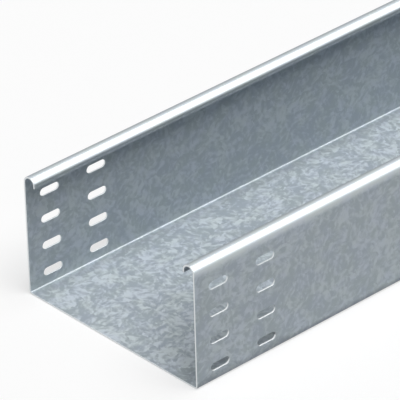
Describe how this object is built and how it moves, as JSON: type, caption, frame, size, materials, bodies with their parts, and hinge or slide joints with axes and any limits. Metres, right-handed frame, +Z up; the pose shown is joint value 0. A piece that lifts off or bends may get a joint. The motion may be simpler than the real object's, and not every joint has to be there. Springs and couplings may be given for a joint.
{
  "type": "solid bottom cable tray",
  "caption": "Long shallow U of zinc coated sheet steel with a plain base, upright sides, inward curled top rims and slots for joint bolts near the ends of the sides.",
  "frame": {"origin": "centre of the underside, halfway along the tray", "axes": "+X along the tray, away from the end shown in front in the picture; +Y to the left side when looking along +X; +Z up out of the trough"},
  "size_m": [3, 0.2, 0.112],
  "materials": {
    "galvanised_steel": "zinc coat with a faint spangle, satin"
  },
  "bodies": {
    "root": {"cable_tray": "galvanised_steel"}
  },
  "joints": []
}
